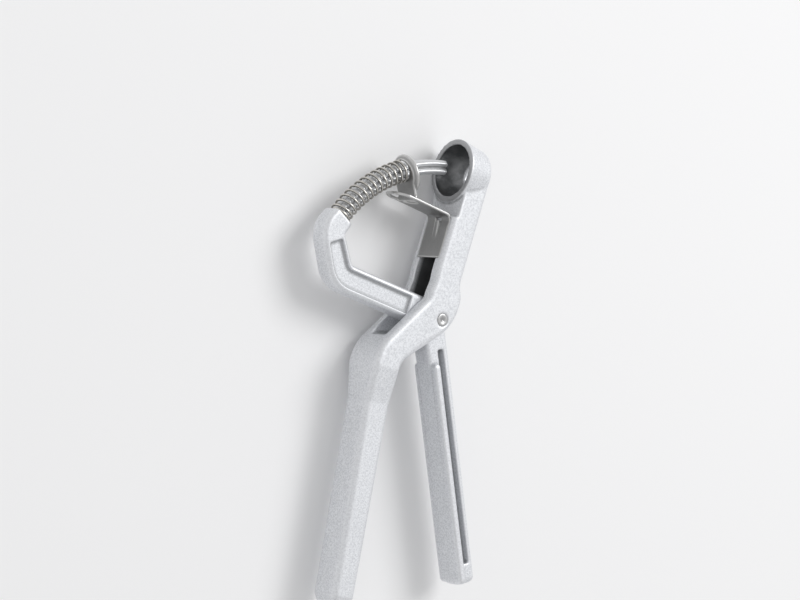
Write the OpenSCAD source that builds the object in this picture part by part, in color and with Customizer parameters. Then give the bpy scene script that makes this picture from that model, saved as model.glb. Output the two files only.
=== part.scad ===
// Olive pitter: two crossed cast levers, a curved plunger, a wound return spring and a sheet stripper.
// The pitter lies on its side. Z is the pivot axis, X points to the cup's side and Y to the cup's end.
// Z = 0 is the lower side face of the cup lever's fork, and X = Y = 0 is the pivot axis.

/* [Plunger arc] */
// Radius of the plunger's arc about the pivot
arc_r = 58; // [52:0.5:64]
// Angle of the hook's end face from +Y, towards -X
hook_angle = 46.4; // [42:0.2:50]
// Angle of the stripper's flange from +Y, towards -X
flange_angle = 11.5; // [9:0.5:14]
// Angle of the plunger's tip from +Y, towards +X
tip_angle = 7.4; // [3:0.2:10]
// Diameter of the plunger over its ribs
plunger_d = 6.4; // [5:0.1:6.8]
// Thickness of each plunger rib
rib_t = 2.2; // [1.6:0.1:2.8]
// Length of the plunger's root in the hook
root_len = 7; // [4:0.5:8]

/* [Cup] */
// Diameter of the cup over its rim
cup_d = 25; // [23.5:0.5:27]
// Wall of the cup at its rim
cup_wall = 2.4; // [1.5:0.1:3]
// Depth of the cup from rim to back
cup_depth = 12.6; // [11.6:0.2:14]
// Thickness of the cup's floor
cup_floor = 1.8; // [1.2:0.1:2.4]
// Diameter of the stone's exit hole
exit_d = 10.2; // [8.6:0.1:11]
// Tilt of the cup arm from +Y, towards +X
arm_tilt = 20; // [17:0.5:23]
// Height of the cup's mouth in front of the arm's front face
cup_lead = 0.6; // [0:0.1:1.2]
// Turn of the cup in its arm, which raises the mouth
cup_turn = 6; // [0:0.5:8]

/* [Cup lever] */
// Width of the cup lever across its fork
lever_w = 19; // [17:0.5:23]
// Depth of the cup arm from front face to back face
arm_depth = 11.8; // [10.6:0.2:13]
// Extra depth of the cup arm where it meets the cup
arm_flare = 0.6; // [0:0.2:3]
// Depth of the step in the arm's front face below the cup's rim
arm_step = 1.6; // [1.2:0.1:2.4]
// Distance of the arm's front face from the pivot
arm_front = 8; // [7:0.2:8.6]
// Depth of the groove in the arm's front face
groove_depth = 7.6; // [5:0.2:8.4]
// Width of the cup lever's handle
grip_w = 14.5; // [13:0.5:16]
// Depth of the cup lever's handle
grip_depth = 11; // [9:0.2:12]
// Length of the cup lever's handle below the fork
grip_len = 93; // [78:1:106]
// Angle of the cup lever's handle from -Y, towards -X
grip_tilt = 12.5; // [11:0.5:16]
// Wall of the hollow in the cup lever's handle
grip_wall = 2.6; // [2:0.1:3.4]
// Half depth of the fork at the pivot
fork_half = 7.8; // [7.4:0.2:9]

/* [Plunger lever] */
// Width of the plunger lever
hook_w = 9.2; // [8:0.2:11]
// Depth of the hook's lower arm
hook_depth = 10.8; // [9:0.2:11.4]
// Depth of the panel sunk in each side of the hook
panel_depth = 1.5; // [0.8:0.1:2.2]
// Width of the rim round the sunk panel
panel_rim = 1.9; // [1.4:0.1:2.6]
// Width of the plunger lever's handle flange
handle_w = 13.6; // [11:0.2:15]
// Depth of the plunger lever's handle
handle_depth = 8.8; // [8:0.2:10]
// Length of the plunger lever's handle below the pivot
handle_len = 102; // [85:1:115]
// Angle of the plunger lever's handle from -Y, towards +X
handle_tilt = 8.5; // [7:0.5:11]
// Width of the groove in each side of the plunger lever's handle
handle_groove = 2.6; // [1.5:0.1:3.4]

/* [Pivot] */
// Diameter of the pivot pin
pin_d = 5; // [4:0.1:6]
// Gap round the pin in the plunger lever, on the radius
pin_gap = 0.05; // [0.02:0.01:0.1]
// Gap between the plunger lever and the fork, on each side
side_gap = 0.3; // [0.3:0.05:0.5]
// Angle that the levers open from this pose
open_angle = 19; // [15:1:20]
// Angle that the levers close from this pose
close_angle = 20; // [16:0.5:21]

/* [Stripper] */
// Thickness of the stripper's sheet
sheet_t = 1; // [0.8:0.1:1.2]
// Width of the stripper's leg
leg_w = 14; // [12:0.2:15]
// Length of the stripper's leg on the arm
leg_len = 17; // [14.5:0.5:21]
// Height of the stripper's bend above the pivot
leg_top = 39.2; // [38:0.2:42.6]
// Diameter of the stripper's flange
flange_d = 15.8; // [15:0.2:17]
// Offset of the flange's middle from the plunger's, towards the pivot
flange_drop = 1.8; // [0.4:0.1:2]
// Diameter of the plunger's hole in the flange
guide_d = 7.6; // [7.4:0.1:8]
// Length of the loop past the flange
loop_len = 9.4; // [7:0.2:9.8]
// Width of the loop's rails
rail_w = 1.6; // [1.2:0.1:2]

/* [Spring] */
// Diameter of the spring's wire
wire_d = 0.9; // [0.7:0.05:1]
// Mean diameter of the spring's curls
curl_d = 8.2; // [8:0.1:8.6]
// Number of curls
curls = 14; // [10:1:15]
// Advance of the first and last curl
end_pitch = 1.6; // [1.5:0.05:2]

/* [Hidden] */
$fn = 64;
eps = 0.01;
corner_steps = 4;
bend_steps = 5;

mid_z = lever_w / 2;
slot_w = hook_w + 2 * side_gap;
cup_v = sqrt(arc_r * arc_r - arm_front * arm_front / 4);
arm_mid = arm_depth / 2 - arm_front;
boss_gap = 0.5;
cast_round = 2.2;
cup_dome = 3.4;
grip_dome = 4;
step_lap = 0.2;
arm_root_v = 4;
arm_waist_v = 16;
jog = [-24.5, -12];
grip_swell = 0.5;
grip_taper = 0.6;
hollow_end = 6;
hook_boss_r = 6.4;
hook_round = 1.6;
hook_dome = 2;
socket_lead = 1;
hook_elbow = [-43, 17.6];
hook_root = [-1, 1.6];
head_len = 7.4;
head_taper = 0.7;
elbow_taper = 0.4;
panel_top = [-46.2, 31];
panel_end = [-12, 5.8];
handle_neck = 22;
handle_flange_t = 3;
handle_flange_start = 18;
handle_flange_round = 0.9;
handle_flange_dome = 1.4;
handle_groove_start = 12;
handle_groove_end = 6;
handle_groove_drop = 0.4;
handle_web = 2.4;
bowl_centre = 2;
bowl_r = norm([cup_d / 2 - cup_wall, bowl_centre]);
back_round = 2.6;
back_flat_r = 7.8;
flange_face = flange_angle + asin(sheet_t / 2 / arc_r);
loop_drop = 11.5;
loop_rise = 0;
loop_cut = 0.5;
loop_end_r = leg_w / 2 + 0.4;
groove_top = leg_top - 3;
leg_bend = 2.4;
lance_len = 7.5;
lance_w = 2.6;
lance_rise = 0.9;
lance_v = leg_top - leg_len + 7.2;
lance_gap = 0.3;
seat_gap = 0.15;
seat_foot = 0.1;
seat_head = 0.7;
dish_r = 6.1;
dish_step = 0.7;
dish_rim = 0.8;
dish_rise = 1.4;
dish_lean = 0.4;
neck_w = 11;
neck_top = 4.6;
root_turn = root_len / arc_r * 180 / PI;

// ---- Vectors, bends and swept solids -------------------------------------------------------------

function unit(a) = a / norm(a);
function left_of(a) = [-a[1], a[0]];
function aim(angle) = [cos(angle), sin(angle)];
function between(p, q, share) = p + (q - p) * share;

// A point at radius r, where the angle is measured from +Y towards +X
function polar(r, angle) = [r * sin(angle), r * cos(angle)];

// A point of the arm's own frame, u across the arm and v along it
function arm(u, v) = [u * cos(arm_tilt) + v * sin(arm_tilt), v * cos(arm_tilt) - u * sin(arm_tilt)];

// The points of a bend of radius r at q, on the way from p to s, or q alone where the way is straight
function bend(p, q, s, r) =
    let (a = unit(p - q), b = unit(s - q), half = acos(max(a * b, -1)) / 2)
    half > 89 ? [q] :
    let (run = min(r / tan(half), 0.45 * min(norm(p - q), norm(s - q))), radius = run * tan(half))
    let (centre = q + unit(a + b) * radius / sin(half), from = unit(q + a * run - centre))
    let (turn = sign(a[0] * b[1] - a[1] * b[0]) * (2 * half - 180))
    [for (k = [0 : bend_steps])
        let (t = turn * k / bend_steps)
        centre + radius * [from[0] * cos(t) - from[1] * sin(t), from[0] * sin(t) + from[1] * cos(t)]];

// Stations [point, half depth, half width] along a path with corners [x, y, half depth, half width, bend]
function stations(path) =
    let (last = len(path) - 1, at = function (k) [path[k][0], path[k][1]])
    concat(
        [[at(0), path[0][2], path[0][3]]],
        [for (k = [1 : last - 1])
            each [for (p = bend(at(k - 1), at(k), at(k + 1), path[k][4])) [p, path[k][2], path[k][3]]]],
        [[at(last), path[last][2], path[last][3]]]
    );

function heading(line, k) =
    let (last = len(line) - 1, before = line[max(k - 1, 0)][0], after = line[min(k + 1, last)][0])
    let (here = line[k][0])
    k == 0 ? unit(after - here) :
    k == last ? unit(here - before) :
    unit(unit(here - before) + unit(after - here));

// A rounded rectangle of half sizes a and b, as points [across, up]
function rounded_section(a, b, r) =
    [for (q = [0 : 3], k = [0 : corner_steps])
        let (t = 90 * (q + k / corner_steps))
        let (sx = (q == 0 || q == 3) ? 1 : -1, sy = q < 2 ? 1 : -1)
        [sx * (a - r) + r * cos(t), sy * (b - r) + r * sin(t)]];

// A solid swept along the stations, with a rounded rectangle for its section and domed ends
module swept(path, r, dome_start = 0, dome_end = 0) {
    raw = stations(path);
    line = concat(dome(raw, 0, dome_start), raw, dome(raw, len(raw) - 1, dome_end));
    count = 4 * (corner_steps + 1);
    last = len(line) - 1;
    points = [for (k = [0 : last])
        let (side = left_of(heading(line, k)), a = line[k][1], b = line[k][2])
        each [for (s = rounded_section(a, b, min(r, a - 0.1, b - 0.1)))
            [line[k][0][0] + side[0] * s[0], line[k][0][1] + side[1] * s[0], s[1]]]];
    walls = [for (k = [0 : last - 1], j = [0 : count - 1])
        let (m = (j + 1) % count, a = k * count, b = a + count)
        each [[a + j, b + j, a + m], [a + m, b + j, b + m]]];
    first_end = [for (j = [1 : count - 2]) [0, j, j + 1]];
    other_end = [for (j = [1 : count - 2]) [last * count, last * count + j + 1, last * count + j]];
    polyhedron(points, concat(walls, first_end, other_end), convexity = 6);
}

// Two smaller stations past an end of the line, which round it off over a length d
function dome(line, k, d) =
    d == 0 ? [] :
    let (out = k == 0 ? -heading(line, 0) : heading(line, k))
    [for (t = k == 0 ? [75, 40] : [40, 75])
        let (less = d * (1 - cos(t)))
        [line[k][0] + out * d * sin(t), line[k][1] - less, line[k][2] - less]];

// The outline of a strip along the stations, narrowed by rim on both sides
function strip(line, rim) =
    let (last = len(line) - 1)
    concat(
        [for (k = [0 : last]) line[k][0] + left_of(heading(line, k)) * (line[k][1] - rim)],
        [for (k = [last : -1 : 0]) line[k][0] - left_of(heading(line, k)) * (line[k][1] - rim)]
    );

module at_mid() {
    translate([0, 0, mid_z]) children();
}

// Stands a shape on the arc, with its Z along the plunger's travel and its X outward from the pivot
module on_arc(angle, r = arc_r) {
    rotate([0, 0, angle]) translate([0, r, 0]) rotate([0, 90, 0]) rotate([0, 0, 90]) children();
}

// A block of height h that the outline encloses, centred on the middle plane
module slab(outline, h) {
    translate([0, 0, -h / 2]) linear_extrude(h) polygon(outline);
}

// ---- Cup lever -----------------------------------------------------------------------------------

grip_end = jog - grip_len * aim(90 - grip_tilt);
cup_path = [
    [each arm(arm_mid + arm_flare / 2, cup_v), (arm_depth + arm_flare) / 2, lever_w / 2, 0],
    [each arm(arm_mid, arm_waist_v), arm_depth / 2 + grip_swell, lever_w / 2, 24],
    [each arm(fork_half - arm_front, arm_root_v), fork_half, lever_w / 2, 14],
    [each jog, grip_depth / 2 + grip_swell, lever_w / 2, 12],
    [each between(jog, grip_end, 1 / 5), grip_depth / 2, grip_w / 2, 20],
    [each grip_end, grip_depth / 2 - grip_taper, grip_w / 2, 0]
];

// Edges of the fork's slot: the plunger lever's arm and handle at both ends of their travel, with room
arm_line = 180 + atan((hook_elbow[1] - hook_root[1]) / (hook_elbow[0] - hook_root[0]));
handle_line = handle_tilt - 90;
slot_half = hook_depth / 2 + boss_gap;
slot_reach = 45;
slot_corner = 63;

module sweep_sector(line, half) {
    low = line - close_angle;
    high = line + open_angle;
    polygon([
        half * aim(low - 90),
        half * aim(low - 90) + slot_reach * aim(low),
        slot_corner * aim(line),
        half * aim(high + 90) + slot_reach * aim(high),
        half * aim(high + 90)
    ]);
}

module cup_body() {
    difference() {
        swept(cup_path, cast_round, cup_dome, grip_dome);
        rotate([0, 0, -arm_tilt]) translate([-arm_front - 1, leg_top - step_lap, -lever_w])
            cube([1 + arm_step, arc_r, 2 * lever_w]);
    }
    in_cup() rotate_extrude() bowl_outside();
}

// Stands a shape in the cup, with Z = 0 in the plane of its mouth and +Z towards its back
module in_cup() {
    rotate([0, 0, -arm_tilt]) translate([cup_depth / 2 - arm_front - cup_lead, cup_v, 0])
        rotate([0, 0, cup_turn]) rotate([0, 90, 0]) translate([0, 0, -cup_depth / 2]) children();
}

// Half of the cup's outline: it narrows from the mouth to a rounded edge round its flat back
module bowl_outside() {
    edge = [back_flat_r, cup_depth - back_round];
    lip = [cup_d / 2, 0];
    turn = atan2(-edge[1], lip[0] - edge[0]) + acos(back_round / norm(lip - edge));
    polygon([[0, 0], lip, edge + back_round * aim(turn), edge, [back_flat_r, cup_depth], [0, cup_depth]]);
    translate(edge) circle(r = back_round);
}

module bowl_hollow() {
    rotate_extrude() intersection() {
        translate([0, bowl_centre]) circle(r = bowl_r);
        translate([0, -1]) square([cup_d, cup_depth - cup_floor + 1]);
    }
    cylinder(d = exit_d, h = cup_depth + 5);
}

// The shallow seat of the stripper's leg in the arm's front face
module leg_seat() {
    translate([-arm_front - 1, leg_top - leg_len - seat_foot, -leg_w / 2 - seat_gap])
        cube([1 + sheet_t, leg_len + seat_foot + seat_head, leg_w + 2 * seat_gap]);
}

// The plan of the slot between the fork's cheeks and of the groove up the arm's front face
module slot_plan() {
    circle(r = hook_boss_r + boss_gap);
    sweep_sector(arm_line, slot_half);
    sweep_sector(handle_line, slot_half);
    rotate(-arm_tilt) translate([-arm_front - 1, arm_root_v])
        square([groove_depth + 1, groove_top - arm_root_v]);
}

grip_mid = between(jog, grip_end, 2 / 7);

module grip_hollow() {
    length = norm(grip_end - grip_mid) - hollow_end;
    translate([grip_mid[0], grip_mid[1], 0]) rotate([0, 0, -90 - grip_tilt])
        translate([0, -grip_depth / 2 + grip_wall, -grip_w / 2 + grip_wall])
            cube([length, grip_depth, grip_w - 2 * grip_wall]);
}

module cup_lever() {
    color("silver") at_mid() difference() {
        cup_body();
        in_cup() bowl_hollow();
        rotate([0, 0, -arm_tilt]) leg_seat();
        grip_hollow();
        translate([0, 0, -slot_w / 2]) linear_extrude(slot_w) slot_plan();
        translate([0, 0, -lever_w]) cylinder(d = pin_d, h = 2 * lever_w);
    }
}

// ---- Plunger lever -------------------------------------------------------------------------------

hook_seat = polar(arc_r, -hook_angle);
hook_tangent = aim(180 + hook_angle);
hook_path = [
    [each hook_seat, hook_depth / 2 - head_taper, hook_w / 2, 0],
    [each (hook_seat + head_len * hook_tangent), hook_depth / 2 - elbow_taper, hook_w / 2, 6],
    [each hook_elbow, hook_depth / 2, hook_w / 2, 7],
    [each hook_root, hook_depth / 2, hook_w / 2, 6],
    [each (handle_neck * aim(handle_line)), handle_depth / 2 + elbow_taper, hook_w / 2, 30],
    [each (handle_len * aim(handle_line)), handle_depth / 2, hook_w / 2, 0]
];

module plunger_lever() {
    color("silver") at_mid() difference() {
        union() {
            swept(hook_path, hook_round, 0, hook_dome);
            handle_flange();
            translate([0, 0, -hook_w / 2]) cylinder(r = hook_boss_r, h = hook_w);
        }
        for (side = [-1, 1]) {
            translate([0, 0, side * (hook_w - panel_depth)]) slab(hook_panel(), hook_w);
            translate([0, 0, side * (handle_w / 2 + handle_web) / 2]) handle_slot();
        }
        rotate([0, 0, 90 + hook_angle - socket_lead]) rotate_extrude(angle = root_turn + socket_lead)
            translate([arc_r, 0]) circle(d = plunger_d);
        translate([0, 0, -lever_w]) cylinder(d = pin_d + 2 * pin_gap, h = 2 * lever_w);
    }
}

// The panel sunk in each side of the hook, from below its head to the fork
function hook_panel() =
    strip(stations([
        [each panel_top, hook_depth / 2 - elbow_taper, 0, 0],
        [each hook_elbow, hook_depth / 2, 0, 7],
        [each panel_end, hook_depth / 2, 0, 0]
    ]), panel_rim);

// The wider flange on the inner side of the handle
module handle_flange() {
    half = handle_flange_t / 2;
    rotate([0, 0, handle_line]) translate([0, half - handle_depth / 2, 0]) swept([
        [handle_flange_start, 0, half, handle_w / 2, 0],
        [handle_len, 0, half, handle_w / 2, 0]
    ], handle_flange_round, handle_flange_dome, handle_flange_dome);
}

// The long groove in each side of the handle
module handle_slot() {
    length = handle_len - handle_groove_start - handle_groove_end;
    rotate([0, 0, handle_line]) translate([handle_groove_start, -handle_groove_drop, -handle_w / 4])
        cube([length, handle_groove, handle_w / 2]);
}

// ---- Plunger -------------------------------------------------------------------------------------

module plunger() {
    color("gainsboro") at_mid() rotate([0, 0, 90 - tip_angle])
        rotate_extrude(angle = tip_angle + hook_angle + root_turn) translate([arc_r, 0]) rib_cross();
}

// Two crossed ribs with round outer edges and a thicker middle
module rib_cross() {
    intersection() {
        circle(d = plunger_d);
        union() {
            rotate(45) square([plunger_d, rib_t], center = true);
            rotate(-45) square([plunger_d, rib_t], center = true);
            circle(d = rib_t * 1.5);
        }
    }
}

// ---- Pivot pin -----------------------------------------------------------------------------------

module pivot_pin() {
    color("lightgray") cylinder(d = pin_d, h = lever_w);
}

// ---- Stripper ------------------------------------------------------------------------------------

// The sheet's line in the arm's frame: up the leg, across to below the flange, and on into the loop
flange_foot = polar(arc_r - loop_drop, -flange_angle - arm_tilt);
leg_u = -arm_front + sheet_t / 2;
loop_end = flange_foot + (loop_len + loop_cut) * aim(180 + loop_rise);

module stripper() {
    color("lightsteelblue") at_mid() {
        rotate([0, 0, -arm_tilt]) {
            difference() {
                sheet([[leg_u, leg_top - leg_len], [leg_u, leg_top], flange_foot, loop_end], leg_bend, leg_w);
                lance_slot();
                loop_cuts();
            }
            lance_tongue();
        }
        flange();
    }
}

// A strip of sheet along a line, with its bends
module sheet(line, r, w) {
    path = [for (k = [0 : len(line) - 1]) [each line[k], sheet_t / 2, 0, r]];
    slab(strip(stations(path), 0), w);
}

module lance_slot() {
    translate([leg_u - 2 * sheet_t, lance_v, -lance_w / 2 - lance_gap])
        cube([4 * sheet_t, lance_len + 4 * lance_gap, lance_w + 2 * lance_gap]);
}

// The tongue raised from the leg, which leans out towards its top
module lance_tongue() {
    slab([
        [leg_u + sheet_t / 2, lance_v - eps],
        [leg_u - sheet_t / 2, lance_v - eps],
        [leg_u - sheet_t / 2 - lance_rise, lance_v + lance_len],
        [leg_u + sheet_t / 2 - lance_rise, lance_v + lance_len]
    ], lance_w);
}

// The window from which the flange was bent up, and what is cut off round the loop's round end
module loop_cuts() {
    inner = leg_w / 2 - rail_w;
    translate([flange_foot[0], flange_foot[1], 0]) rotate([0, 0, 180 + loop_rise]) rotate([90, 0, 0])
        translate([0, 0, -2 * sheet_t]) linear_extrude(4 * sheet_t) {
            translate([rail_w, -inner]) square([loop_len - 2 * rail_w - inner, 2 * inner]);
            translate([loop_len - rail_w - inner, 0]) circle(r = inner);
            difference() {
                translate([loop_len - loop_end_r, -leg_w]) square([loop_end_r + 1, 2 * leg_w]);
                translate([loop_len - loop_end_r, 0]) circle(r = loop_end_r);
            }
        }
}

// The dished flange that the plunger slides through, with its neck down to the sheet
module flange() {
    difference() {
        union() {
            on_arc(flange_angle, arc_r - flange_drop) rotate_extrude() translate([0, -sheet_t / 2]) polygon([
                [0, 0],
                [dish_r, 0],
                [dish_r + dish_step, dish_step],
                [flange_d / 2 - dish_rim, dish_step],
                [flange_d / 2, dish_rise],
                [flange_d / 2 - dish_lean, dish_rise + sheet_t],
                [flange_d / 2 - dish_rim - dish_lean, dish_step + sheet_t],
                [dish_r + dish_step - dish_lean, dish_step + sheet_t],
                [dish_r - dish_lean, sheet_t],
                [0, sheet_t]
            ]);
            rotate([0, 0, flange_angle])
                translate([-sheet_t / 2, arc_r - loop_drop - sheet_t / 2, -neck_w / 2])
                    cube([sheet_t, loop_drop - neck_top, neck_w]);
        }
        on_arc(flange_angle) translate([0, 0, -5]) cylinder(d = guide_d, h = 10);
    }
}

// ---- Spring --------------------------------------------------------------------------------------

curl_rings = 8;
tube_sides = 6;
spring_start = -hook_angle + asin(wire_d / arc_r);
spring_end = -flange_face - asin(wire_d / arc_r);
spring_len = (spring_end - spring_start) * PI / 180 * arc_r;
mid_pitch = (spring_len - 2 * end_pitch) / (curls - 2);

// How far the wire has gone along the arc after t curls
function advance(t) =
    t < 1 ? end_pitch * t :
    t > curls - 1 ? spring_len - end_pitch * (curls - t) :
    end_pitch + mid_pitch * (t - 1);

// A point of the wire at an angle along the arc, where the curl has turned by t
function wire_point(angle, t) =
    let (r = arc_r + curl_d / 2 * cos(360 * t))
    [each polar(r, angle), curl_d / 2 * sin(360 * t)];

// The middle of the curl at an angle along the arc
function curl_centre(angle) = [each polar(arc_r, angle), 0];

spring_turns = concat([0], [for (k = [0 : curls * curl_rings]) k / curl_rings], [curls]);
spring_angles = concat(
    [-hook_angle],
    [for (k = [0 : curls * curl_rings]) spring_start + advance(k / curl_rings) / arc_r * 180 / PI],
    [-flange_face]
);
spring_points = [for (k = [0 : len(spring_turns) - 1]) wire_point(spring_angles[k], spring_turns[k])];

// The least gap between parts of the wire that are over half a curl apart
spring_gaps = [for (a = [0 : len(spring_points) - 1], b = [a + 5 : 1 : len(spring_points) - 1])
    norm(spring_points[a] - spring_points[b]) - wire_d];
echo(least_gap_in_spring = min(spring_gaps));

module tube(points, centres, d) {
    last = len(points) - 1;
    rings = [for (k = [0 : last])
        let (before = points[max(k - 1, 0)], after = points[min(k + 1, last)], here = points[k])
        let (along = (k == 0 || k == last) ? after - before : unit(here - before) + unit(after - here))
        let (t = unit(along), out = here - centres[k], n = unit(out - t * (out * t)), b = cross(t, n))
        each [for (j = [0 : tube_sides - 1])
            let (turn = 360 * j / tube_sides)
            here + d / 2 * (n * cos(turn) + b * sin(turn))]];
    walls = [for (k = [0 : last - 1], j = [0 : tube_sides - 1])
        let (m = (j + 1) % tube_sides, a = k * tube_sides, c = a + tube_sides)
        each [[a + j, a + m, c + j], [a + m, c + m, c + j]]];
    first_end = [for (j = [1 : tube_sides - 2]) [0, j + 1, j]];
    base = last * tube_sides;
    other_end = [for (j = [1 : tube_sides - 2]) [base, base + j, base + j + 1]];
    polyhedron(rings, concat(walls, first_end, other_end), convexity = 10);
}

module spring() {
    centres = [for (angle = spring_angles) curl_centre(angle)];
    color("dimgray") at_mid() tube(spring_points, centres, wire_d);
}

cup_lever();
plunger_lever();
plunger();
pivot_pin();
stripper();
spring();
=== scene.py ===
"""Olive pitter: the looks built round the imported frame, laid out as an add-on and run as a script."""

import math

import bpy
import numpy as np
from bpy.props import FloatProperty, FloatVectorProperty, IntProperty, PointerProperty
from mathutils import Matrix, Vector


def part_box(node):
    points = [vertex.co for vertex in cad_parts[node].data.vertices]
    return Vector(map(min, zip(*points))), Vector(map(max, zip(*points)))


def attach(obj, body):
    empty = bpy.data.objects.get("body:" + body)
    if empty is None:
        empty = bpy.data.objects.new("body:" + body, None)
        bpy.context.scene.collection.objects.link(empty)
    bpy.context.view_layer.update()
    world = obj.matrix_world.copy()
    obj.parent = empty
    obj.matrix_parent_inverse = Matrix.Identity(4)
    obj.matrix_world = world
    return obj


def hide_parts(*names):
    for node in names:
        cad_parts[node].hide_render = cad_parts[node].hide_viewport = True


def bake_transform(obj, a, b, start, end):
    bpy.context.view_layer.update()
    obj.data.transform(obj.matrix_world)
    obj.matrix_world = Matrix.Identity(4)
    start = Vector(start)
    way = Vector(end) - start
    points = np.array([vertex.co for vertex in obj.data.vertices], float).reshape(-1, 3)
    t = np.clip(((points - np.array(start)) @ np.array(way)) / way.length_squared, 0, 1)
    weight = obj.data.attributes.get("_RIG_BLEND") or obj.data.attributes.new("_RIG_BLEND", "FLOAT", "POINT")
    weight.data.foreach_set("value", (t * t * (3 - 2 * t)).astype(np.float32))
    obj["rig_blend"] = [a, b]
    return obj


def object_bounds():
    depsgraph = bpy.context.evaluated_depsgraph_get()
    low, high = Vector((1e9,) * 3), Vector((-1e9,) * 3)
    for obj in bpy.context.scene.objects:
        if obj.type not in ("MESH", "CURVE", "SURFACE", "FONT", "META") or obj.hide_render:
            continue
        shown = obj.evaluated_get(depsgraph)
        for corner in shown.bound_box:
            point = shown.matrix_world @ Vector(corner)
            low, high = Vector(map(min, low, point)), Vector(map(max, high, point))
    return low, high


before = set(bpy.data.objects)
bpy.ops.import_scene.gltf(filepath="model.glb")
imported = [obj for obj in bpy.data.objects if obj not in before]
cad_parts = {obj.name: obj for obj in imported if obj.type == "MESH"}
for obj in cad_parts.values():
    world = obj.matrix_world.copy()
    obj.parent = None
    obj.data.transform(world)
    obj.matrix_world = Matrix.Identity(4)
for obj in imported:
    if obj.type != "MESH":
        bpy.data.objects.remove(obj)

bl_info = {
    "name": "Olive Pitter",
    "version": (1, 0, 0),
    "blender": (4, 5, 0),
    "location": "3D View > Sidebar > Pitter",
    "description": "Cast levers, ribbed plunger, return spring and stripper of an olive pitter",
    "category": "Add Mesh",
}

MM = 0.001
CAD_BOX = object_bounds()
FORK_LOW, FORK_HIGH = (float(corner[2]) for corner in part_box("pivot_pin"))
MID_Z = (FORK_LOW + FORK_HIGH) / 2

# The cup and its arm, as the solids hold them. The arm's front stands off from the pivot, and the cup's
# middle lies up the arm from the pivot and is shifted towards that front
ARM_TILT = math.radians(20)
ARM_UP = ARM_TILT - math.pi / 2
ARM_FRONT = 8.0 * MM
CUP_TURN = math.radians(6)
CUP_DEPTH = 12.6 * MM
CUP_FLOOR = 1.8 * MM
CUP_RADIUS = 12.5 * MM
CUP_REACH = 57.86 * MM
CUP_SHIFT = 2.3 * MM
RIM_WALL = 2.4 * MM

# The ball that hollows the cup: how far its middle is behind the mouth, and its radius
BALL_DEPTH = 2.0 * MM
BALL_RADIUS = 10.3 * MM

# The groove in the arm, where the coat gets painted shade: half its width, how far behind the arm's front
# the painted shade starts, over what length that fades in, how far it goes past the pivot, and its lower
# and upper ends along the arm
SLOT_HALF = 4.9 * MM
GROOVE_LIP = 0.6 * MM
GROOVE_FADE = 1.6 * MM
GROOVE_BACK = 2.8 * MM
GROOVE_LOW = -14 * MM
GROOVE_HIGH = 37.0 * MM

# The groove in each side of the plunger lever's handle, in the handle's own directions: its two ends along
# the handle, its inner and outer walls, how far from the middle plane its painted shade reaches, and the
# mask's value in it, which sets how dark the painted shade is
HANDLE_TILT = math.radians(8.5)
HANDLE_LOW = 12 * MM
HANDLE_HIGH = 96 * MM
HANDLE_IN = -0.4 * MM
HANDLE_OUT = 2.2 * MM
HANDLE_SIDE = 4.4 * MM
HANDLE_SHADE = 0.12

# Width of the soft border of a mask
SOFT = 0.35 * MM

# Skins: points closer than this are one, a skin has at least this many points, and its edges are found by
# this many rounds of blurring, each of which keeps this share, and by this gain
WELD_GAP = 0.002 * MM
FEWEST_POINTS = 1000
EDGE_ROUNDS = 4
EDGE_KEPT = 0.4
EDGE_GAIN = 9

# The plunger's bar: steps along it and round it, how far it stays inside its solid, the sizes of its tip's
# last sections, how far before the tip the last three stand in radians, the powers that round the ribs'
# edges and their middle, and the middle's radius as a share of half a rib
BAR_STEPS = 180
BAR_SIDES = 96
BAR_INSET = 0.02 * MM
TIP_SHRINK = (0.985, 0.93, 0.80, 0.60)
TIP_ANGLES = (0.0012, 0.0003, 0.0)
RIB_POWER = 14.0
CORE_POWER = 10
CORE_SHARE = 1.5

# The spring's wire: steps per curl, sides, the size of its cut ends, the curls over which the advance rises,
# the curls that this takes from the even stretch, the share of the end pitch that it starts from, and half
# the thickness of the flange's sheet, which the last curl rests on
CURL_STEPS = 36
WIRE_SIDES = 16
WIRE_END = 0.8
EASE_CURLS = 1.5
LOST_CURLS = 1.4
START_SHARE = 0.62
HALF_SHEET = 0.5 * MM

# The pin: its sides, the sizes of the rings on each end as shares of its radius, and how deep each is sunk
PIN_SIDES = 96
PIN_RADII = np.array([0.1, 0.16, 0.80, 0.93, 1.0])
PIN_SINKS = np.array([0.35, 0.05, 0.05, 0.12, 0.35]) * MM

# The light: the room's colour, and each lamp's place, size in metres and power in watts
ROOM_TONE = (0.60, 0.60, 0.605)
KEY_LAMP = ((1.01, 0.79, 1.45), 1.0, 18.0)
FILL_LAMP = ((-0.75, 0.10, 0.35), 0.60, 0.25)

# The picture's width in points, half the floor's width in metres, and the tone of the clouds on the floor as
# a share of the floor's own
PICTURE_WIDTH = 800
FLOOR_HALF = 2.0
FLOOR_CLOUD = 0.985

# Second colours of the finishes, as scene-linear values
# Worn edges of the coat: more metal and less roughness as wear, and a lighter colour as a painted highlight
WORN_COAT_HIGHLIGHT = (0.84, 0.85, 0.87)
# Painted shade in the inner corners of the cast coat
CORNER_SHADE_COAT = (0.20, 0.205, 0.21)
# Painted shade in the arm's groove and in the grooves of the plunger lever's handle
GROOVE_SHADE = (0.085, 0.087, 0.09)
# Painted shade on the cup's flat ring round the mouth
RIM_SHADE = (0.30, 0.304, 0.31)
BOWL_STAIN = (0.36, 0.365, 0.37)
DRAG_MARK = (0.48, 0.49, 0.50)
# Painted shade in the valleys between the plunger's ribs
RIB_VALLEY_SHADE = (0.16, 0.16, 0.165)
WIRE_FILM = (0.30, 0.28, 0.25)
# Painted shade on the wire's flanks that face the neighbouring curls
WIRE_FLANK_SHADE = (0.10, 0.095, 0.08)
MILL_LINE = (0.22, 0.22, 0.22)
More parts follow.
